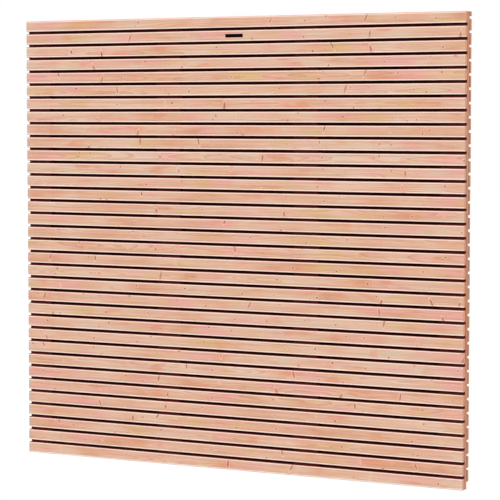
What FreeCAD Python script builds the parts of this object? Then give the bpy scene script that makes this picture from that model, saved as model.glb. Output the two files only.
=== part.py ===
import FreeCAD, Part

import os

from FreeCAD import Vector

# Double-sided slatted garden privacy screen, in millimetres, +Z up.
# The origin is at the bottom centre of the screen.
# The front faces -Y, and +X runs to the right of someone who looks at the front.
# Two layers of level slats are nailed to four flat uprights, one layer on each side.
# The back layer is staggered by half a pitch, so each slat covers a gap of the other layer.

# Driving dimensions
WIDTH = 1950.0
HEIGHT = 1800.0

SLAT_HEIGHT = 44.0
SLAT_THICKNESS = 18.0
SLAT_COUNT = 34
SLAT_EDGE_RADIUS = 2.5

UPRIGHT_WIDTH = 105.0
UPRIGHT_THICKNESS = 24.0
UPRIGHT_NAMES = ("upright_outer_left", "upright_inner_left", "upright_inner_right", "upright_outer_right")
UPRIGHT_EDGE_RADIUS = 2.0

# Brads: flat wire nails with a T-shaped head, set a little below the face of the slat
BRAD_LENGTH = 32.0
BRAD_SHANK_X = 1.6
BRAD_SHANK_Z = 1.4
BRAD_HEAD_X = 3.2
BRAD_HEAD_THICKNESS = 1.0
BRAD_SET_DEPTH = 0.5
BRAD_SPREAD_X = 40.0
BRAD_SPREAD_Z = 20.0
STRIP_BRAD_SPREAD_X = 70.0

# Bare label plate, let into the middle of the second slat from the top
PLATE_SLAT = 2
PLATE_WIDTH = 78.0
PLATE_HEIGHT = 13.6
PLATE_THICKNESS = 1.2
PLATE_CORNER_RADIUS = 2.0
PLATE_CLEARANCE = 0.3

PIN_LENGTH = 12.0
PIN_SHANK = 1.2
PIN_HEAD_RADIUS = 1.5
PIN_HEAD_THICKNESS = 0.8
PIN_SPACING = 69.0

# Worked out from the driving dimensions
GAP = (HEIGHT - SLAT_COUNT * SLAT_HEIGHT) / (SLAT_COUNT - 1)
PITCH = SLAT_HEIGHT + GAP
FRONT_FACE_Y = -(UPRIGHT_THICKNESS / 2 + SLAT_THICKNESS)
BACK_FACE_Y = -FRONT_FACE_Y
FIRST_FRONT_Z = HEIGHT - SLAT_HEIGHT / 2
FIRST_BACK_Z = FIRST_FRONT_Z - PITCH / 2
STRIP_HEIGHT = SLAT_HEIGHT / 2 - GAP / 2
STRIP_CENTRE_Z = HEIGHT - STRIP_HEIGHT / 2
BACK_SLAT_COUNT = SLAT_COUNT - 1
BACK_SLATS_PER_NODE = 2
UPRIGHT_SPACING = (WIDTH - UPRIGHT_WIDTH) / (len(UPRIGHT_NAMES) - 1)
UPRIGHT_CENTRES = [UPRIGHT_SPACING * (i - (len(UPRIGHT_NAMES) - 1) / 2) for i in range(len(UPRIGHT_NAMES))]
PLATE_CENTRE_Z = FIRST_FRONT_Z - (PLATE_SLAT - 1) * PITCH
PLATE_FACE_Y = FRONT_FACE_Y + PIN_HEAD_THICKNESS
PLATE_BACK_Y = PLATE_FACE_Y + PLATE_THICKNESS


def front_slat_z(number):
    """Height of the centre line of a front slat, counted from 1 at the top."""
    return FIRST_FRONT_Z - (number - 1) * PITCH


def back_slat_z(number):
    """Height of the centre line of a full back slat, counted from 1 at the top."""
    return FIRST_BACK_Z - (number - 1) * PITCH


def centred_box(centre, size):
    """Box of the given size about a centre."""
    return Part.makeBox(size.x, size.y, size.z, centre - size / 2)


def board(centre, size, long_axis, edge_radius):
    """Planed board with its four long edges rounded."""
    block = centred_box(centre, size)
    long_edges = []
    for edge in block.Edges:
        if abs(edge.tangentAt(edge.FirstParameter).dot(long_axis)) > 0.99:
            long_edges.append(edge)
    return block.makeFillet(edge_radius, long_edges)


def slat(centre_z, height, side):
    """Level board on the front (side -1) or the back (side 1) of the uprights."""
    centre_y = side * (UPRIGHT_THICKNESS + SLAT_THICKNESS) / 2
    size = Vector(WIDTH, SLAT_THICKNESS, height)
    return board(Vector(0, centre_y, centre_z), size, Vector(1, 0, 0), SLAT_EDGE_RADIUS)


def upright(centre_x):
    """Flat post that the slats of both layers are nailed to."""
    size = Vector(UPRIGHT_WIDTH, UPRIGHT_THICKNESS, HEIGHT)
    return board(Vector(centre_x, 0, HEIGHT / 2), size, Vector(0, 0, 1), UPRIGHT_EDGE_RADIUS)


def brad(x, z, side, head_start):
    """Brad driven in from one side. Its head reaches out to head_start below the slat's face."""
    face = abs(FRONT_FACE_Y)
    head_out = face - head_start
    head_in = face - BRAD_SET_DEPTH - BRAD_HEAD_THICKNESS
    tip = face - BRAD_SET_DEPTH - BRAD_LENGTH
    head_size = Vector(BRAD_HEAD_X, head_out - head_in, BRAD_SHANK_Z)
    shank_size = Vector(BRAD_SHANK_X, head_in - tip, BRAD_SHANK_Z)
    head = centred_box(Vector(x, side * (head_out + head_in) / 2, z), head_size)
    shank = centred_box(Vector(x, side * (head_in + tip) / 2, z), shank_size)
    return head.fuse(shank).removeSplitter()


def crossing_places(centre_z):
    """Brad places where a full slat crosses the uprights: two to a crossing, set on a slant."""
    places = []
    for x in UPRIGHT_CENTRES:
        outward = 1 if x > 0 else -1
        places.append((x + outward * BRAD_SPREAD_X / 2, centre_z + BRAD_SPREAD_Z / 2))
        places.append((x - outward * BRAD_SPREAD_X / 2, centre_z - BRAD_SPREAD_Z / 2))
    return places


def strip_places():
    """Brad places of the narrow top strip of the back: two to a crossing, side by side."""
    places = []
    for x in UPRIGHT_CENTRES:
        places.append((x - STRIP_BRAD_SPREAD_X / 2, STRIP_CENTRE_Z))
        places.append((x + STRIP_BRAD_SPREAD_X / 2, STRIP_CENTRE_Z))
    return places


def brads_at(places, side):
    """The brads themselves, with the heads at their real thickness."""
    return [brad(x, z, side, BRAD_SET_DEPTH) for x, z in places]


def nailed(piece, places, side):
    """A wooden piece with the holes that its brads fill, open up to the face of the slat."""
    return piece.cut([brad(x, z, side, 0.0) for x, z in places])


def rounded_panel(width, height, thickness, corner_radius, front_y, centre_z):
    """Thin upright panel centred on X=0, with rounded corners."""
    centre = Vector(0, front_y + thickness / 2, centre_z)
    return board(centre, Vector(width, thickness, height), Vector(0, 1, 0), corner_radius)


def pin_shank(x):
    """Square shank of a label pin, from the face of the plate into the slat."""
    size = Vector(PIN_SHANK, PIN_LENGTH, PIN_SHANK)
    return centred_box(Vector(x, PLATE_FACE_Y + PIN_LENGTH / 2, PLATE_CENTRE_Z), size)


def pin_xs():
    """The two pins, one near each end of the plate."""
    return (-PIN_SPACING / 2, PIN_SPACING / 2)


def label_pin(x):
    """Small pin with a round flat head that sits on the plate."""
    head_centre = Vector(x, FRONT_FACE_Y, PLATE_CENTRE_Z)
    head = Part.makeCylinder(PIN_HEAD_RADIUS, PIN_HEAD_THICKNESS, head_centre, Vector(0, 1, 0))
    return head.fuse(pin_shank(x)).removeSplitter()


def label_plate():
    """Thin plate with nothing on it but its two pin holes."""
    plate = rounded_panel(
        PLATE_WIDTH, PLATE_HEIGHT, PLATE_THICKNESS, PLATE_CORNER_RADIUS, PLATE_FACE_Y, PLATE_CENTRE_Z
    )
    return plate.cut([pin_shank(x) for x in pin_xs()])


def with_plate_recess(piece):
    """The slat that carries the plate: a shallow recess for the plate and holes for its pins."""
    recess = rounded_panel(
        PLATE_WIDTH + 2 * PLATE_CLEARANCE,
        PLATE_HEIGHT + 2 * PLATE_CLEARANCE,
        PLATE_BACK_Y - FRONT_FACE_Y,
        PLATE_CORNER_RADIUS + PLATE_CLEARANCE,
        FRONT_FACE_Y,
        PLATE_CENTRE_Z,
    )
    return piece.cut([recess] + [pin_shank(x) for x in pin_xs()])


def front_slat(number):
    """One full slat of the front layer."""
    centre_z = front_slat_z(number)
    piece = nailed(slat(centre_z, SLAT_HEIGHT, -1), crossing_places(centre_z), -1)
    if number == PLATE_SLAT:
        piece = with_plate_recess(piece)
    return piece


def back_slat(number):
    """One full slat of the back layer."""
    centre_z = back_slat_z(number)
    return nailed(slat(centre_z, SLAT_HEIGHT, 1), crossing_places(centre_z), 1)


def back_top_strip():
    """Narrow strip, ripped from a slat, that fills the top of the back layer."""
    return nailed(slat(STRIP_CENTRE_Z, STRIP_HEIGHT, 1), strip_places(), 1)


def near(places, centre_x):
    """The brad places that lie on one upright."""
    return [place for place in places if abs(place[0] - centre_x) < UPRIGHT_WIDTH / 2]


def write_node(name, shape):
    """Write one node, after a check that its solids are sound."""
    if not shape.isValid():
        raise ValueError(name + " is not a valid shape")
    shape.exportStep("parts/" + name + ".step")


os.makedirs("parts", exist_ok=True)

front_places = []
for number in range(1, SLAT_COUNT + 1):
    write_node("front_slat_%02d" % number, front_slat(number))
    front_places += crossing_places(front_slat_z(number))

back_places = strip_places()
write_node("back_top_strip", back_top_strip())
for first in range(1, BACK_SLAT_COUNT + 1, BACK_SLATS_PER_NODE):
    numbers = range(first, min(first + BACK_SLATS_PER_NODE, BACK_SLAT_COUNT + 1))
    node = "back_slat_" + "_".join("%02d" % number for number in numbers)
    write_node(node, Part.makeCompound([back_slat(number) for number in numbers]))
    for number in numbers:
        back_places += crossing_places(back_slat_z(number))

for name, centre_x in zip(UPRIGHT_NAMES, UPRIGHT_CENTRES):
    piece = nailed(upright(centre_x), near(front_places, centre_x), -1)
    write_node(name, nailed(piece, near(back_places, centre_x), 1))

write_node("front_brads", Part.makeCompound(brads_at(front_places, -1)))
write_node("back_brads", Part.makeCompound(brads_at(back_places, 1)))
write_node("label_plate", label_plate())
write_node("label_pins", Part.makeCompound([label_pin(x) for x in pin_xs()]))

print("gap %.3f, pitch %.3f, top strip %.3f" % (GAP, PITCH, STRIP_HEIGHT))
print("open at the bottom of the back %.3f" % (back_slat_z(BACK_SLAT_COUNT) - SLAT_HEIGHT / 2))
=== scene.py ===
import math
import random

import bpy
import numpy as np
from mathutils import Matrix, Vector

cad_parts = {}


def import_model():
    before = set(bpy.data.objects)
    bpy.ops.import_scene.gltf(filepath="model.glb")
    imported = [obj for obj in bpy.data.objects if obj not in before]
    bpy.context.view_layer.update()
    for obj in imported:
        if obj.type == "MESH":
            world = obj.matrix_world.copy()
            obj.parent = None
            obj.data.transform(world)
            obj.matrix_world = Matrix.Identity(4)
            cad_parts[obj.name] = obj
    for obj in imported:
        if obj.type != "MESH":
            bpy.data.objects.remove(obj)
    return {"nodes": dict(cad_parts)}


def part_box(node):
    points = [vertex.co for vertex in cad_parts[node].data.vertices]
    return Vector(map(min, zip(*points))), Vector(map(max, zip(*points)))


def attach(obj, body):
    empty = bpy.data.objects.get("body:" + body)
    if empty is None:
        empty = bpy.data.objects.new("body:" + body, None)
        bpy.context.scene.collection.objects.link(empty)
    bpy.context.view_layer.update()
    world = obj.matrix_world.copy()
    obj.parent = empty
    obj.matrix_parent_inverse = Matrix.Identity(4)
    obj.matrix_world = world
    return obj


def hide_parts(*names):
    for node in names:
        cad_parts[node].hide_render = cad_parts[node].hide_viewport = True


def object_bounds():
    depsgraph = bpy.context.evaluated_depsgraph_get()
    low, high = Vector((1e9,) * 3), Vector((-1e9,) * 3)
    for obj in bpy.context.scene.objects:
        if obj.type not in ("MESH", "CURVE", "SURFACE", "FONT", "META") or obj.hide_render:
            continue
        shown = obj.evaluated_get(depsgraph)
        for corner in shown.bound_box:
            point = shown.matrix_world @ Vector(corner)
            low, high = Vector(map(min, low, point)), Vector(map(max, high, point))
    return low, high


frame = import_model()
cad_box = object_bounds()

# ---------------------------------------------------------------- sizes of the boards, in metres
PLANING = 0.0003          # how far a planed board may fall short of its nominal size on any side
EDGE_RADIUS = 0.0025      # rounded long edges of the boards
CORNER_STEPS = 6
END_CHAMFER = 0.0006      # broken arris at the sawn ends
STATION_STEP = 0.05       # spacing of the sections along a board
WAVE_RATES = (0.5, 2.2)   # slowest and fastest bow, cup and change of width along a board
SHARP_ANGLE = 32.0        # degrees between faces from which an edge stays sharp
HEAD_CLEARANCE = 0.00015  # crushed wood round a brad head
PLATE_CLEARANCE = 0.0003
CUT_PROUD = 0.002         # cutters start this far outside the face
NEAR = 0.001              # what lies closer than this to a side of the screen is flush with it
BOTTOM_OPEN = 0.03        # boards that start lower than this have nothing below them

# A board's texture map
BAKE_MAP = "OFBake"
MAP_MARGIN = 0.004        # space between the pieces of the map
CELL_PITCH = 0.0058       # cells on the map for the walls of the nail pockets
CELL_SIZE = 0.0035

# ---------------------------------------------------------------- sizes in the wood, in metres
KNOT_CELL = 0.27          # at most one knot in each such length of board
PIN_KNOT_CELL = 0.36      # and at most one small pin knot in each of these
KNOT_SHARE = 0.86         # share of these lengths that have one
KNOT_WIDTH = 0.0032
PIN_KNOT_WIDTH = 0.0024
KNOT_SPREAD = 0.0018      # the widest knots are this much wider
KNOT_RAGGEDNESS = 0.0045
KNOT_LEAN = 1.1           # span of the knots' slants
KNOT_REACH = 1.5          # how far off the middle line a knot may lie, where 2 is the edge
SPIKE_LENGTHS = (0.006, 0.015)
PITH_DISTANCES = (0.012, 0.075)
RING_WIDTH = 0.0028
LATE_SHARPNESS = 3.5      # power that makes the late wood a narrow part of each ring
GRAIN_RELIEF = 0.00012
METAL_RELIEF = 0.00002

# Arrises: the painted highlight band along each long edge of a face, and the painted orange-brown half-shade
# on the edge outside it
SHADE_LINE_ABOVE = 0.0007       # how far the painted shade line lies from the middle of the upper rounding onto the face
SHADE_LINE_BELOW = -0.0005      # and from the middle of the lower rounding, short of which it stops
BAND_START = 0.0005       # the painted highlight band is at its full strength this far from the shade line
BAND_REACH_ABOVE = 0.0056 # and has faded out this far from it at the upper edge
BAND_REACH_BELOW = 0.0068 # and this far at the lower edge
BAND_FADE = 0.0026        # length of that fading
TINT_FULL = 0.0003        # the arris gets the painted orange-brown half-shade up to here from the shade line
TINT_END = 0.0021
TINT_STRENGTH = 0.85

# Painted shade on the inner faces
FOOT_UNSHADED = 0.024        # below this height the back layer leaves them open, and they get no painted shade
# from this height up the painted shade is at full strength
FOOT_FULLY_SHADED = 0.036

AXES = {"x": Vector((1, 0, 0)), "y": Vector((0, 1, 0)), "z": Vector((0, 0, 1))}
BOX_FACES = ((0, 1, 3, 2), (4, 6, 7, 5), (0, 4, 5, 1), (2, 3, 7, 6), (0, 2, 6, 4), (1, 5, 7, 3))


# ---------------------------------------------------------------- colours
def srgb(red, green, blue):
    """Linear colour of an 8-bit sRGB one, with alpha 1."""
    def linear(value):
        share = value / 255
        return share / 12.92 if share <= 0.04045 else ((share + 0.055) / 1.055) ** 2.4
    return (linear(red), linear(green), linear(blue), 1.0)


# Broad stains, from pale to red
STAINS = (
    (0.00, srgb(230, 207, 184)),
    (0.35, srgb(237, 199, 173)),
    (0.55, srgb(235, 190, 162)),
    (0.75, srgb(232, 179, 148)),
    (1.00, srgb(225, 158, 127)),
)
OCHRE = srgb(227, 190, 134)
PINK = srgb(243, 176, 168)
SALMON = srgb(236, 158, 126)
LATE_WOOD = srgb(180, 118, 88)
STREAK = srgb(192, 138, 110)
FIBRE = srgb(168, 108, 82)
# painted highlight along the long edges of the faces
PAINTED_HIGHLIGHT = srgb(255, 236, 220)
# painted warm half-shade on the arris where the face turns into the gap
ARRIS_HALF_SHADE = srgb(246, 118, 74)
KNOT_FLUSH = srgb(218, 130, 100)
KNOT_RING = srgb(255, 222, 198)
KNOT_DARK = srgb(146, 78, 54)
KNOT_PALE = srgb(236, 196, 160)
END_GRAIN = srgb(242, 168, 130)
END_GRAIN_BACK = srgb(202, 158, 138)
END_LATE_WOOD = srgb(200, 116, 80)
END_RIM = srgb(120, 84, 72)
UPRIGHT_SHADE = srgb(240, 212, 197)
# painted shade for the sides and faces that look into the screen
BOARD_PAINTED_SHADE = srgb(92, 16, 6)
UPRIGHT_PAINTED_SHADE = srgb(118, 12, 3)
STEEL_DARK = srgb(150, 140, 130)
STEEL_LIGHT = srgb(196, 190, 184)
PLATE_BLACK = srgb(14, 4, 2)
PLATE_DUST = srgb(30, 14, 8)
FLOOR_GREY = (0.2, 0.2, 0.2, 1)
WHITE = (1, 1, 1, 1)


# ---------------------------------------------------------------- node trees
class Tree:
    """Nodes of a material or a world, with one short call for each kind of step."""

    def __init__(self, owner, output_kind="ShaderNodeOutputMaterial"):
        owner.use_nodes = True
        self.owner = owner
        self.nodes = owner.node_tree.nodes
        self.links = owner.node_tree.links
        self.nodes.clear()
        self.output = self.nodes.new(output_kind)

    def feed(self, socket, value):
        if isinstance(value, bpy.types.NodeSocket):
            self.links.new(value, socket)
        else:
            socket.default_value = value

    def math(self, operation, *values):
        node = self.nodes.new("ShaderNodeMath")
        node.operation = operation
        for socket, value in zip(node.inputs, values):
            self.feed(socket, value)
        return node.outputs[0]

    def plus(self, first, second):
        return self.math("ADD", first, second)

    def less(self, first, second):
        return self.math("SUBTRACT", first, second)

    def times(self, first, second):
        return self.math("MULTIPLY", first, second)

    def over(self, first, second):
        return self.math("DIVIDE", first, second)

    def times_plus(self, first, second, third):
        return self.math("MULTIPLY_ADD", first, second, third)

    def length(self, first, second):
        """Length of the hypotenuse over two sides."""
        return self.math("SQRT", self.times_plus(first, first, self.times(second, second)))

    def middled(self, value):
        """A value from 0 to 1, moved to lie about 0."""
        return self.less(value, 0.5)

    def attribute(self, name):
        node = self.nodes.new("ShaderNodeAttribute")
        node.attribute_name = name
        return node.outputs["Vector"]

    def object_place(self):
        return self.nodes.new("ShaderNodeTexCoord").outputs["Object"]

    def split(self, vector):
        node = self.nodes.new("ShaderNodeSeparateXYZ")
        self.feed(node.inputs[0], vector)
        return node.outputs[0], node.outputs[1], node.outputs[2]

    def join(self, x, y, z):
        node = self.nodes.new("ShaderNodeCombineXYZ")
        for socket, value in zip(node.inputs, (x, y, z)):
            self.feed(socket, value)
        return node.outputs[0]

    def noise(self, vector, detail=2.0, roughness=0.5, scale=1.0):
        node = self.nodes.new("ShaderNodeTexNoise")
        self.feed(node.inputs["Vector"], vector)
        self.feed(node.inputs["Scale"], scale)
        self.feed(node.inputs["Detail"], detail)
        self.feed(node.inputs["Roughness"], roughness)
        return node.outputs[0]

    def random(self, x, y, z):
        node = self.nodes.new("ShaderNodeTexWhiteNoise")
        node.noise_dimensions = "3D"
        self.feed(node.inputs["Vector"], self.join(x, y, z))
        return self.split(node.outputs["Color"])

    def remap(self, value, low, high, to_low=0.0, to_high=1.0, smooth=True):
        node = self.nodes.new("ShaderNodeMapRange")
        node.interpolation_type = "SMOOTHSTEP" if smooth else "LINEAR"
        node.clamp = True
        for socket, number in zip(node.inputs, (value, low, high, to_low, to_high)):
            self.feed(socket, number)
        return node.outputs[0]

    def choose(self, which, if_zero, if_one):
        """One of two numbers, or what lies between them."""
        return self.remap(which, 0, 1, if_zero, if_one, smooth=False)

    def ramp(self, value, stops):
        node = self.nodes.new("ShaderNodeValToRGB")
        self.feed(node.inputs[0], value)
        elements = node.color_ramp.elements
        while len(elements) < len(stops):
            elements.new(0.5)
        for element, (place, colour) in zip(elements, stops):
            element.position = place
            element.color = colour
        return node.outputs[0]

    def mix(self, factor, first, second, blend="MIX"):
        node = self.nodes.new("ShaderNodeMix")
        node.data_type = "RGBA"
        node.blend_type = blend
        self.feed(node.inputs["Factor"], factor)
        self.feed(node.inputs[6], first)
        self.feed(node.inputs[7], second)
        return node.outputs[2]

    def bump(self, height, distance):
        node = self.nodes.new("ShaderNodeBump")
        self.feed(node.inputs["Height"], height)
        self.feed(node.inputs["Distance"], distance)
        self.feed(node.inputs["Strength"], 1.0)
        return node.outputs[0]

    def seen_directly(self):
        """1 for rays from the camera, and for what they meet in a reflection or through glass."""
        path = self.nodes.new("ShaderNodeLightPath").outputs
        seen = self.math("MAXIMUM", path["Is Camera Ray"], path["Is Glossy Ray"])
        return self.math("MAXIMUM", seen, path["Is Transmission Ray"])

    def surface(self, **sockets):
        """Principled surface; returns the finished material."""
        node = self.nodes.new("ShaderNodeBsdfPrincipled")
        for name, value in sockets.items():
            self.feed(node.inputs[name.replace("_", " ")], value)
        self.links.new(node.outputs[0], self.output.inputs["Surface"])
        return self.owner


# ---------------------------------------------------------------- softwood
class Wood:
    """Where a point lies in its board, how far it is from the board's edges, and what is the board's own."""

    def __init__(self, tree):
        self.along, self.across, self.deep = tree.split(tree.attribute("wood"))
        self.seed_a, self.seed_b, self.seed_c = tree.split(tree.attribute("seed"))
        self.pith_across, self.pith_deep, self.warmth = tree.split(tree.attribute("pith"))
        self.half_across, self.half_deep, self.half_along = tree.split(tree.attribute("half"))
        self.side_plus, self.side_minus, self.face_plus = tree.split(tree.attribute("hidden"))
        self.face_minus, self.is_upright, self.rise = tree.split(tree.attribute("hidden_back"))
        self.upper = tree.math("GREATER_THAN", self.across, 0.0)
        self.rear = tree.math("GREATER_THAN", self.deep, 0.0)
        self.to_side = tree.less(self.half_across, tree.math("ABSOLUTE", self.across))
        self.to_face = tree.less(self.half_deep, tree.math("ABSOLUTE", self.deep))
        self.to_end = tree.less(self.half_along, tree.math("ABSOLUTE", self.along))
        from_arris = tree.less(self.to_side, self.to_face)
        # distance onto the face from the line where the painted edge shade ends
        self.from_shade_line = tree.less(from_arris, tree.choose(self.upper, SHADE_LINE_BELOW, SHADE_LINE_ABOVE))


def grain_noise(tree, wood, rates, seed, detail, roughness=0.5):
    """Noise drawn out along the board. The rates are its frequencies along, across and deep."""
    places = (wood.along, wood.across, wood.deep)
    along, across, deep = [tree.times(place, rate) for place, rate in zip(places, rates)]
    return tree.noise(tree.join(along, across, tree.plus(deep, seed)), detail, roughness)


def knots(tree, wood, seeds, cell_length, salt, spike_share, width):
    """One knot at most in each cell along a board, either a round one or a spike across the board."""
    cell_place = tree.plus(tree.over(wood.along, cell_length), seeds[0])
    cell = tree.math("FLOOR", cell_place)
    place, height, slant = tree.random(cell, seeds[1], salt)
    kind, length, presence = tree.random(cell, seeds[1], salt + 1.0)
    paleness, depth, redness = tree.random(cell, seeds[1], salt + 2.0)

    # Place of the point from the knot's middle, in knot sizes
    from_knot = tree.less(tree.less(cell_place, cell), tree.choose(place, 0.2, 0.8))
    ragged = tree.noise(tree.join(tree.times(wood.along, 260.0), tree.times(wood.across, 210.0), seeds[2]))
    shift = tree.times(tree.middled(ragged), KNOT_RAGGEDNESS)
    knot_along = tree.times_plus(from_knot, cell_length, shift)
    off_middle = tree.times(tree.times(tree.middled(height), KNOT_REACH), wood.half_across)
    knot_across = tree.less(wood.across, off_middle)
    knot_along = tree.times_plus(knot_across, tree.times(tree.middled(slant), KNOT_LEAN), knot_along)
    is_spike = tree.math("GREATER_THAN", kind, 1.0 - spike_share)
    spike_length = tree.choose(length, SPIKE_LENGTHS[0], SPIKE_LENGTHS[1])
    knot_width = tree.times_plus(redness, KNOT_SPREAD, width)
    knot_length = tree.times_plus(tree.less(spike_length, width), is_spike, width)
    distance = tree.length(tree.over(knot_across, knot_length), tree.over(knot_along, knot_width))

    is_there = tree.math("LESS_THAN", presence, KNOT_SHARE)
    halo = tree.times(tree.remap(distance, 0.9, 3.6, 1, 0), is_there)
    ring = tree.times(tree.remap(distance, 1.1, 1.6, 0, 0.45), tree.remap(distance, 1.6, 2.5, 1, 0))
    core = tree.times(tree.remap(distance, 0.55, 1.15, 1, 0), is_there)
    faintness = tree.times(tree.times(is_spike, redness), 0.45)
    strength = tree.times(tree.remap(depth, 0, 1, 0.6, 1.0), tree.less(1.0, faintness))
    return {
        "halo": halo,
        "flushed": tree.times(halo, tree.remap(redness, 0, 1, 0.12, 0.50)),
        "ring": tree.times(ring, is_there),
        "core": tree.times(core, strength),
        "tone": tree.mix(tree.math("GREATER_THAN", paleness, 0.78), KNOT_DARK, KNOT_PALE),
    }


def late_wood(tree, wood, bulge):
    """Dark late wood of the growth rings, about a pith that wanders. The rings bulge round the knots."""
    slow = tree.times(wood.along, 1.6)
    wander_across = tree.noise(tree.join(slow, wood.seed_a, 3.0), 1.0)
    wander_deep = tree.noise(tree.join(slow, wood.seed_b, 7.0), 1.0)
    pith_across = tree.times_plus(tree.middled(wander_across), 0.05, wood.pith_across)
    pith_deep = tree.times_plus(tree.middled(wander_deep), 0.03, wood.pith_deep)
    radius = tree.length(tree.less(wood.deep, pith_deep), tree.less(wood.across, pith_across))
    wobble = grain_noise(tree, wood, (9.0, 30.0, 30.0), wood.seed_c, 2.0)
    radius = tree.times_plus(tree.middled(wobble), 0.005, radius)
    radius = tree.times_plus(bulge, 0.003, radius)
    uneven = tree.noise(tree.join(tree.times(radius, 90.0), wood.seed_a, wood.seed_b), 1.0)
    ring = tree.math("FRACT", tree.plus(tree.over(radius, RING_WIDTH), tree.times(uneven, 2.4)))
    late = tree.math("POWER", ring, LATE_SHARPNESS)
    return tree.times(late, tree.remap(ring, 0.93, 1.0, 1, 0))


def stained(tree, wood):
    """Ground colour: broad patches from pale to red, then ochre, pink and salmon ones over them."""
    patch = grain_noise(tree, wood, (3.8, 11.0, 20.0), wood.seed_a, 3.0, 0.55)
    patch = tree.plus(patch, tree.times(tree.middled(wood.warmth), 0.10))
    tone = tree.ramp(tree.remap(patch, 0.26, 0.74, 0, 1, smooth=False), STAINS)
    patches = (
        # colour, noise frequencies, seed and detail, noise at which the colour starts and is full, strength
        (OCHRE, (3.6, 11.0, 24.0), wood.seed_b, 2.5, 0.52, 0.72, 0.85),
        (PINK, (4.8, 13.0, 28.0), wood.seed_c, 2.5, 0.50, 0.68, 0.80),
        (SALMON, (7.4, 22.0, 0.0), tree.less(wood.seed_a, wood.seed_b), 2.0, 0.56, 0.74, 0.75),
    )
    for colour, rates, seed, detail, start, full, strength in patches:
        share = tree.remap(grain_noise(tree, wood, rates, seed, detail), start, full, 0, strength)
        tone = tree.mix(share, tone, colour)
    return tone


def with_grain(tree, wood, colour, late, fibre):
    """Late wood, darker streaks and single fibres."""
    colour = tree.mix(tree.times(late, 0.50), colour, LATE_WOOD)
    streak = grain_noise(tree, wood, (3.2, 130.0, 130.0), wood.seed_c, 2.0, 0.55)
    colour = tree.mix(tree.remap(streak, 0.40, 0.72, 0, 0.30), colour, STREAK)
    return tree.mix(tree.remap(fibre, 0.3, 0.7, 0.09, 0), colour, FIBRE)


def with_painted_edge_shading(tree, wood, colour):
    """Paints a highlight band along each long edge of a face, and an orange-brown half-shade on the arris.
    """
    band_reach = tree.choose(wood.upper, BAND_REACH_BELOW, BAND_REACH_ABOVE)
    past_band = tree.less(wood.from_shade_line, band_reach)
    band_start = tree.remap(wood.from_shade_line, 0.0, BAND_START, 0, 1)
    band = tree.times(band_start, tree.remap(past_band, -BAND_FADE, 0, 1, 0))
    colour = tree.mix(band, colour, PAINTED_HIGHLIGHT)
    # painted orange-brown half-shade on the arris
    on_face = tree.remap(wood.from_shade_line, -0.0020, -0.0005, 0, 1)
    tint = tree.times(tree.remap(wood.from_shade_line, TINT_FULL, TINT_END, TINT_STRENGTH, 0), on_face)
    return tree.mix(tint, colour, ARRIS_HALF_SHADE)


def with_knots(tree, colour, groups):
    for knot in groups:
        colour = tree.mix(knot["flushed"], colour, KNOT_FLUSH)
        colour = tree.mix(knot["ring"], colour, KNOT_RING)
        colour = tree.mix(knot["core"], colour, knot["tone"])
    return colour


def painted_inner_shade(tree, wood):
    """Share of painted shade on the sides and faces that look into the screen, where the gaps keep light
    out.
    """
    side_hidden = tree.choose(wood.upper, wood.side_minus, wood.side_plus)
    face_hidden = tree.choose(wood.rear, wood.face_minus, wood.face_plus)
    on_side = tree.times(tree.remap(wood.from_shade_line, -0.0005, 0.0004, 1, 0), side_hidden)
    on_face = tree.times(tree.remap(wood.to_face, 0.0010, 0.0030, 1, 0), face_hidden)
    above_foot = tree.remap(wood.rise, FOOT_UNSHADED, FOOT_FULLY_SHADED, 0, 1)
    return tree.times(tree.math("MAXIMUM", on_side, on_face), above_foot)


def end_grain(tree, wood, late):
    """Colour of the sawn ends, which soak up more and look warmer, with a dark rim."""
    tone = tree.mix(wood.face_minus, END_GRAIN, END_GRAIN_BACK)
    tone = tree.mix(tree.times(late, 0.5), tone, END_LATE_WOOD)
    to_edge = tree.math("MINIMUM", wood.to_side, wood.to_face)
    return tree.mix(tree.remap(to_edge, 0.0006, 0.0020, 0.30, 0), tone, END_RIM)


def softwood():
    """Planed reddish softwood. Rings, knots and stains are worked out through the whole thickness."""
    tree = Tree(bpy.data.materials.new("softwood"))
    wood = Wood(tree)
    seeds = (wood.seed_a, wood.seed_b, wood.seed_c)
    turned_seeds = (wood.seed_c, wood.seed_a, wood.seed_b)
    large = knots(tree, wood, seeds, KNOT_CELL, 1.0, 0.38, KNOT_WIDTH)
    small = knots(tree, wood, turned_seeds, PIN_KNOT_CELL, 4.0, 0.08, PIN_KNOT_WIDTH)
    late = late_wood(tree, wood, large["halo"])
    fibre = grain_noise(tree, wood, (14.0, 900.0, 900.0), wood.seed_b, 3.0, 0.6)

    colour = with_grain(tree, wood, stained(tree, wood), late, fibre)
    # painted highlight band and painted half-shade along the long edges
    colour = with_painted_edge_shading(tree, wood, colour)
    colour = with_knots(tree, colour, (small, large))
    colour = tree.mix(wood.is_upright, colour, UPRIGHT_SHADE, "MULTIPLY")
    at_end = tree.remap(wood.to_end, 0.0003, 0.0006, 1, 0)
    # painted shade where the sides and faces look into the screen
    inner_shade_share = tree.times(painted_inner_shade(tree, wood), tree.less(1.0, at_end))
    inner_shade_tone = tree.mix(wood.is_upright, BOARD_PAINTED_SHADE, UPRIGHT_PAINTED_SHADE)
    colour = tree.mix(inner_shade_share, colour, inner_shade_tone, "MULTIPLY")
    colour = tree.mix(at_end, colour, end_grain(tree, wood, late))

    rough = tree.times_plus(at_end, 0.15, tree.times_plus(fibre, 0.16, 0.52))
    relief = tree.times_plus(late, 0.5, tree.times(fibre, 0.45))
    relief = tree.times_plus(large["core"], 0.3, relief)
    return tree.surface(Base_Color=colour, Roughness=rough, Normal=tree.bump(relief, GRAIN_RELIEF),
                        Specular_IOR_Level=0.25)


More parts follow.
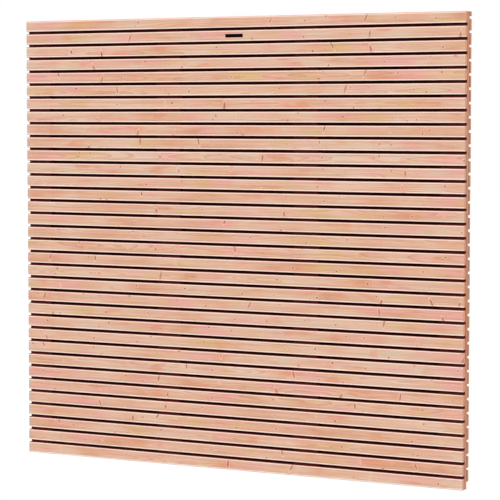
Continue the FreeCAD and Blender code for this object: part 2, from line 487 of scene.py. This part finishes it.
# ---------------------------------------------------------------- metal
def brad_steel():
    """Dull drawn wire with fine scratches."""
    tree = Tree(bpy.data.materials.new("brad_steel"))
    scratch = tree.noise(tree.object_place(), 3.0, 0.6, 900.0)
    tone = tree.mix(scratch, STEEL_DARK, STEEL_LIGHT)
    rough = tree.remap(scratch, 0.3, 0.7, 0.35, 0.55)
    relief = tree.bump(scratch, METAL_RELIEF)
    return tree.surface(Base_Color=tone, Metallic=1.0, Roughness=rough, Normal=relief)


def black_plate():
    """Satin black coating with a faint orange peel and dust in the grain."""
    tree = Tree(bpy.data.materials.new("black_plate"))
    place = tree.object_place()
    peel = tree.noise(place, 2.0, 0.5, 1400.0)
    dust = tree.noise(place, 4.0, 0.65, 220.0)
    tone = tree.mix(tree.remap(dust, 0.5, 0.8, 0, 0.35), PLATE_BLACK, PLATE_DUST)
    rough = tree.remap(dust, 0.3, 0.8, 0.55, 0.75)
    relief = tree.bump(peel, METAL_RELIEF)
    return tree.surface(Base_Color=tone, Roughness=rough, Normal=relief, Specular_IOR_Level=0.03)


# ---------------------------------------------------------------- boards
def section(half_across, half_deep, inset):
    """Points round a board's section, with rounded corners, drawn in by an inset at the sawn ends."""
    radius = EDGE_RADIUS - inset
    points = []
    for sign_a, sign_d, start in ((1, 1, 0), (-1, 1, 90), (-1, -1, 180), (1, -1, 270)):
        for step in range(CORNER_STEPS + 1):
            angle = math.radians(start + 90 * step / CORNER_STEPS)
            points.append((
                sign_a * (half_across - EDGE_RADIUS) + radius * math.cos(angle),
                sign_d * (half_deep - EDGE_RADIUS) + radius * math.sin(angle),
            ))
    return points


def stations(half_along):
    """Places of the sections along a board, closer together at the chamfered ends."""
    inner = half_along - END_CHAMFER
    count = round(2 * inner / STATION_STEP)
    places = [-half_along]
    for step in range(count + 1):
        places.append(-inner + 2 * inner * step / count)
    places.append(half_along)
    return places


class Layout:
    """Where a board's surface lies on its square texture map, in metres before scaling.

    The unrolled sides are cut into equal lengths that lie one above the other. The sawn ends and then the
    walls of the nail pockets stand in a column on the right.
    """

    def __init__(self, places, outline):
        self.places = places
        self.outline = outline
        self.turns = [0.0]
        for here, after in zip(outline, outline[1:] + outline[:1]):
            self.turns.append(self.turns[-1] + math.dist(here, after))
        self.lane = self.turns[-1] + MAP_MARGIN
        last = len(places) - 1
        lanes = max(1, round(math.sqrt((places[-1] - places[0]) / self.lane)))
        self.rows_in_lane = math.ceil(last / lanes)
        starts = range(0, last, self.rows_in_lane)
        lane_length = max(places[min(start + self.rows_in_lane, last)] - places[start] for start in starts)
        self.column = lane_length + 2 * MAP_MARGIN
        self.end_width = 2 * max(deep for across, deep in outline)
        self.end_height = 2 * max(across for across, deep in outline)
        self.size = max(lanes * self.lane + MAP_MARGIN, self.column + self.end_width + MAP_MARGIN)

    def side(self, row, corner, step):
        """Place of a corner of the quad between two sections; step is 1 for the following section."""
        lane = row // self.rows_in_lane
        along = self.places[row + step] - self.places[lane * self.rows_in_lane]
        up = MAP_MARGIN + lane * self.lane + self.turns[corner]
        return (MAP_MARGIN + along) / self.size, up / self.size

    def end(self, number, corner):
        """Place of a corner of one of the two sawn ends."""
        across, deep = self.outline[corner]
        up = MAP_MARGIN + number * (self.end_height + MAP_MARGIN) + self.end_height / 2
        return (self.column + self.end_width / 2 + deep) / self.size, (up + across) / self.size

    def wall(self, number, corner):
        """Place of a corner of one face of a cutter, in a small cell of its own."""
        in_line = int(self.end_width // CELL_PITCH)
        line, place = divmod(number, in_line)
        right, up = ((0, 0), (1, 0), (1, 1), (0, 1))[corner]
        start = 2 * (self.end_height + MAP_MARGIN) + MAP_MARGIN
        return ((self.column + place * CELL_PITCH + right * CELL_SIZE) / self.size,
                (start + line * CELL_PITCH + up * CELL_SIZE) / self.size)


def write_map(mesh, corners):
    """Writes the texture map; corners holds one (u, v) for each face corner, in the mesh's order."""
    layer = mesh.uv_layers.new(name=BAKE_MAP)
    layer.data.foreach_set("uv", np.asarray(corners, np.float32).ravel())


def board_points(places, centre, halves, axes, waves):
    """Points of a planed board's sections: slightly bowed, and slightly uneven in width."""
    half_along, half_across, half_deep = halves
    axis_along, axis_across, axis_deep = axes
    points = []
    for place in places:
        at_end = abs(place) > half_along - END_CHAMFER / 2
        bow, cup, breadth = [math.sin(place * rate * 2 + phase) for rate, phase in waves]
        for across, deep in section(half_across, half_deep, END_CHAMFER if at_end else 0.0):
            across = across * (1 + 0.1 * PLANING / half_across * breadth) + 0.8 * PLANING * bow
            deep = deep + 0.8 * PLANING * cup
            points.append(centre + axis_along * place + axis_across * across + axis_deep * deep)
    return points


def board_faces(layout):
    """Faces between the sections and over the two ends, and the places of their corners on the map."""
    ring = 4 * (CORNER_STEPS + 1)
    rows = len(layout.places) - 1
    faces = []
    corners = []
    for row in range(rows):
        for column in range(ring):
            following = (column + 1) % ring
            faces.append([row * ring + column, row * ring + following,
                          (row + 1) * ring + following, (row + 1) * ring + column])
            corners.append([layout.side(row, column, 0), layout.side(row, column + 1, 0),
                            layout.side(row, column + 1, 1), layout.side(row, column, 1)])
    faces.append(list(range(ring))[::-1])
    corners.append([layout.end(0, corner) for corner in range(ring)][::-1])
    faces.append(list(range(rows * ring, (rows + 1) * ring)))
    corners.append([layout.end(1, corner) for corner in range(ring)])
    return faces, corners


def board_mesh(name, low, high, long_axis, rng):
    """Closed mesh of a planed board inside its nominal box, with its texture map's layout."""
    axes = (AXES[long_axis], AXES["z" if long_axis == "x" else "x"], AXES["y"])
    size = high - low
    half_along = size.dot(axes[0]) / 2 - rng.uniform(0, PLANING)
    half_across = size.dot(axes[1]) / 2 - PLANING
    half_deep = size.dot(axes[2]) / 2 - PLANING
    waves = [(rng.uniform(*WAVE_RATES), rng.uniform(0, math.tau)) for _ in range(3)]
    places = stations(half_along)
    points = board_points(places, (low + high) / 2, (half_along, half_across, half_deep), axes, waves)
    layout = Layout(places, section(half_across, half_deep, 0.0))
    faces, corners = board_faces(layout)
    if long_axis == "x":
        faces = [face[::-1] for face in faces]
        corners = [face[::-1] for face in corners]
    mesh = bpy.data.meshes.new(name)
    mesh.from_pydata(points, [], faces)
    write_map(mesh, [place for face in corners for place in face])
    mesh.update()
    return mesh, layout


def box_mesh(name, boxes, layout):
    """One mesh of several closed boxes, used as a cutter."""
    points = []
    faces = []
    corners = []
    for low, high in boxes:
        start = len(points)
        for x in (low.x, high.x):
            for y in (low.y, high.y):
                for z in (low.z, high.z):
                    points.append((x, y, z))
        for face in BOX_FACES:
            corners += [layout.wall(len(faces), corner) for corner in range(4)]
            faces.append([start + corner for corner in face])
    mesh = bpy.data.meshes.new(name)
    mesh.from_pydata(points, [], faces)
    write_map(mesh, corners)
    mesh.update()
    return mesh


def cut(piece, boxes, layout):
    """Takes boxes out of a piece and keeps the result as its mesh."""
    cutter = bpy.data.objects.new("cutter", box_mesh("cutter", boxes, layout))
    bpy.context.scene.collection.objects.link(cutter)
    modifier = piece.modifiers.new("pockets", "BOOLEAN")
    modifier.operation = "DIFFERENCE"
    modifier.solver = "EXACT"
    modifier.object = cutter
    bpy.context.view_layer.update()
    graph = bpy.context.evaluated_depsgraph_get()
    mesh = bpy.data.meshes.new_from_object(piece.evaluated_get(graph))
    piece.modifiers.clear()
    piece.data = mesh
    bpy.data.objects.remove(cutter)


def islands(node):
    """(lowest corner, highest corner) of each separate solid of a CAD node."""
    mesh = frame["nodes"][node].data
    places = np.array([vertex.co for vertex in mesh.vertices])
    keys, joined = np.unique(np.round(places, 7), axis=0, return_inverse=True)
    joined = joined.ravel()
    owner = np.arange(len(keys))
    edges = joined[np.array([edge.vertices for edge in mesh.edges])]
    while True:
        lowest = np.minimum(owner[edges[:, 0]], owner[edges[:, 1]])
        before = owner.copy()
        np.minimum.at(owner, edges[:, 0], lowest)
        np.minimum.at(owner, edges[:, 1], lowest)
        if (owner == before).all():
            break
    found = []
    for number in np.unique(owner):
        own = keys[owner == number]
        found.append((Vector(own.min(0)), Vector(own.max(0))))
    return found


def head_pockets(brads, side, low, high):
    """Pockets over the brad heads that lie in one board, from outside its face down to the heads."""
    pockets = []
    for brad_low, brad_high in brads:
        centre = (brad_low + brad_high) / 2
        if not (low.z < centre.z < high.z):
            continue
        head_y = brad_low.y if side < 0 else brad_high.y
        outside = low.y - CUT_PROUD if side < 0 else high.y + CUT_PROUD
        margin = Vector((HEAD_CLEARANCE, 0, HEAD_CLEARANCE))
        near = Vector((brad_low.x, min(head_y, outside), brad_low.z)) - margin
        far = Vector((brad_high.x, max(head_y, outside), brad_high.z)) + margin
        pockets.append((near, far))
    return pockets


def plate_recess():
    """The shallow recess for the label plate."""
    low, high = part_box("label_plate")
    margin = Vector((PLATE_CLEARANCE, 0, PLATE_CLEARANCE))
    return (low - margin - Vector((0, CUT_PROUD, 0)), high + margin)


def write_vectors(mesh, name, vectors):
    """Writes one vector for each point of a mesh; a single one stands for all of them."""
    whole = np.zeros((len(mesh.vertices), 3), np.float32)
    whole[:] = vectors
    attribute = mesh.attributes.new(name, "FLOAT_VECTOR", "POINT")
    attribute.data.foreach_set("vector", whole.ravel())


def mark_wood(mesh, low, high, long_axis, hidden, rng):
    """Gives each vertex its place in the wood, and the board its own heart, seeds and warmth.

    hidden says which surfaces look into the screen: the sides at +across and -across, the faces at +deep
    and -deep. The last number of hidden_back is the height above the floor.
    """
    centre = np.array((low + high) / 2)
    half = np.array((high - low) / 2)
    order = (0, 2, 1) if long_axis == "x" else (2, 0, 1)
    places = np.array([vertex.co for vertex in mesh.vertices])
    write_vectors(mesh, "wood", (places - centre)[:, order])
    write_vectors(mesh, "half", half[[order[1], order[2], order[0]]])
    write_vectors(mesh, "seed", [rng.uniform(0, 90) for _ in range(3)])
    turn = rng.uniform(0, math.tau)
    away = rng.uniform(*PITH_DISTANCES)
    write_vectors(mesh, "pith", (away * math.cos(turn), away * math.sin(turn), rng.random()))
    write_vectors(mesh, "hidden", hidden[:3])
    is_upright = 1.0 if long_axis == "z" else 0.0
    write_vectors(mesh, "hidden_back", [(hidden[3], is_upright, place[2]) for place in places])


def board(name, node, low, high, long_axis, hidden, pockets):
    """One wooden board in place of a CAD node, or of its share of one."""
    rng = random.Random(name)
    mesh, layout = board_mesh(name, low, high, long_axis, rng)
    piece = bpy.data.objects.new(name, mesh)
    bpy.context.scene.collection.objects.link(piece)
    if pockets:
        cut(piece, pockets, layout)
    mark_wood(piece.data, low, high, long_axis, hidden, rng)
    piece.data.shade_smooth()
    piece.data.set_sharp_from_angle(angle=math.radians(SHARP_ANGLE))
    piece.modifiers.new("even_normals", "WEIGHTED_NORMAL").keep_sharp = True
    piece.data.materials.clear()
    piece.data.materials.append(WOOD)
    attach(piece, "root")
    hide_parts(node)


def nodes_named(start):
    """The CAD nodes whose names start so, in order."""
    return sorted(node for node in frame["nodes"] if node.startswith(start))


def hidden_sides(low, high):
    """Which long sides of a level board look at a neighbour: all but those at the top and bottom."""
    upper = 0.0 if high.z > cad_box[1][2] - NEAR else 1.0
    lower = 0.0 if low.z < BOTTOM_OPEN else 1.0
    return upper, lower


def front_layer():
    brads = islands("front_brads")
    plate_z = sum(corner.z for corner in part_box("label_plate")) / 2
    for node in nodes_named("front_slat"):
        low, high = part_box(node)
        pockets = head_pockets(brads, -1, low, high)
        if low.z < plate_z < high.z:
            pockets.append(plate_recess())
        hidden = hidden_sides(low, high) + (1.0, 0.0)
        board("board_" + node, node, low, high, "x", hidden, pockets)


def back_board(name, node, low, high, brads):
    hidden = hidden_sides(low, high) + (0.0, 1.0)
    board(name, node, low, high, "x", hidden, head_pockets(brads, 1, low, high))


def back_layer():
    """Boards of the back layer. A node holds one or two of them, the upper one first in its name."""
    brads = islands("back_brads")
    single_low, single_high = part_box("back_slat_33")
    height = single_high.z - single_low.z
    for node in nodes_named("back_slat"):
        low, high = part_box(node)
        for number in node.split("_")[2:]:
            own_low = Vector((low.x, low.y, high.z - height))
            back_board("board_back_slat_" + number, node, own_low, Vector(high), brads)
            high = Vector((high.x, high.y, low.z + height))
    low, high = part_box("back_top_strip")
    back_board("board_back_top_strip", "back_top_strip", low, high, brads)


def uprights():
    for node in nodes_named("upright"):
        low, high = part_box(node)
        right = 0.0 if high.x > cad_box[1][0] - NEAR else 1.0
        left = 0.0 if low.x < cad_box[0][0] + NEAR else 1.0
        board("board_" + node, node, low, high, "z", (right, left, 1.0, 1.0), [])


def dress_cad():
    """Finishes for the metal nodes, which keep their CAD shapes."""
    finishes = {"front_brads": STEEL, "back_brads": STEEL, "label_pins": PLATE, "label_plate": PLATE}
    for node, material in finishes.items():
        mesh = frame["nodes"][node].data
        mesh.materials.clear()
        mesh.materials.append(material)


# ---------------------------------------------------------------- floor, light and camera
FLOOR_REACH = 30.0
FLOOR_DROP = 0.0005
FLOOR_GLOW = 0.83         # makes the floor as white as the backdrop to the camera
SOFT_LIGHT = 0.10         # strength of the surroundings as light
LAMPS = (
    # name, degrees to the right of the front, degrees above the floor, degrees of spread, strength
    ("key", -22, 26, 30, 2.62),
    ("fill", 72, 30, 40, 1.15),
    ("rear", 160, 27, 30, 2.6),
)

# The photograph's view, worked out from the four corners of the screen and from all its gaps
CAMERA_PLACE = (3.8200, -7.2388, 1.4229)
CAMERA_YAW = 27.527
CAMERA_PITCH = -3.374
CAMERA_ROLL = -1.765
FOCAL_SHARE = 4.12977     # focal length over the width of the picture
SENSOR_WIDTH = 36.0


def floor():
    """Pale floor that looks white to the camera, apart from the object's shadow."""
    mesh = bpy.data.meshes.new("floor")
    reach = FLOOR_REACH
    mesh.from_pydata([(-reach, -reach, 0), (reach, -reach, 0), (reach, reach, 0), (-reach, reach, 0)],
                     [], [(0, 1, 2, 3)])
    ground = bpy.data.objects.new("floor", mesh)
    bpy.context.scene.collection.objects.link(ground)
    tree = Tree(bpy.data.materials.new("floor"))
    glow = tree.times(tree.seen_directly(), FLOOR_GLOW)
    mesh.materials.append(tree.surface(Base_Color=FLOOR_GREY, Roughness=0.9, Emission_Color=WHITE,
                                       Emission_Strength=glow))
    ground.location.z = -FLOOR_DROP


def world():
    """Even pale surroundings: white to the camera and in reflections, softer as light."""
    scene_world = bpy.data.worlds.new("studio")
    bpy.context.scene.world = scene_world
    tree = Tree(scene_world, "ShaderNodeOutputWorld")
    blend = tree.nodes.new("ShaderNodeMixShader")
    tree.feed(blend.inputs[0], tree.seen_directly())
    for socket, strength in zip(blend.inputs[1:], (SOFT_LIGHT, 1.0)):
        background = tree.nodes.new("ShaderNodeBackground")
        tree.feed(background.inputs["Color"], WHITE)
        tree.feed(background.inputs["Strength"], strength)
        tree.links.new(background.outputs[0], socket)
    tree.links.new(blend.outputs[0], tree.output.inputs[0])


def lamp(name, turn, rise, spread, strength):
    """Soft distant lamp; see LAMPS for what the numbers are."""
    data = bpy.data.lights.new(name, "SUN")
    data.angle = math.radians(spread)
    data.energy = strength
    light = bpy.data.objects.new(name, data)
    bpy.context.scene.collection.objects.link(light)
    turn = math.radians(turn)
    rise = math.radians(rise)
    towards = Vector((math.cos(rise) * math.sin(turn), -math.cos(rise) * math.cos(turn), math.sin(rise)))
    light.rotation_euler = towards.to_track_quat("Z", "Y").to_euler()


def camera():
    data = bpy.data.cameras.new("camera")
    data.sensor_width = SENSOR_WIDTH
    data.sensor_fit = "HORIZONTAL"
    data.lens = FOCAL_SHARE * SENSOR_WIDTH
    data.clip_end = 100.0
    view = bpy.data.objects.new("camera", data)
    bpy.context.scene.collection.objects.link(view)
    yaw = Matrix.Rotation(math.radians(CAMERA_YAW), 3, "Z")
    pitch = Matrix.Rotation(math.radians(CAMERA_PITCH), 3, "X")
    roll = Matrix.Rotation(math.radians(CAMERA_ROLL), 3, "Y")
    turned = roll @ pitch @ yaw
    right, forward, up = turned.col[0], turned.col[1], turned.col[2]
    facing = Matrix((right, up, -forward)).transposed().to_4x4()
    view.matrix_world = Matrix.Translation(CAMERA_PLACE) @ facing
    bpy.context.scene.camera = view


WOOD = softwood()
STEEL = brad_steel()
PLATE = black_plate()

front_layer()
back_layer()
uprights()
dress_cad()
floor()
world()
for settings in LAMPS:
    lamp(*settings)
camera()

bpy.context.scene.view_settings.view_transform = "Standard"
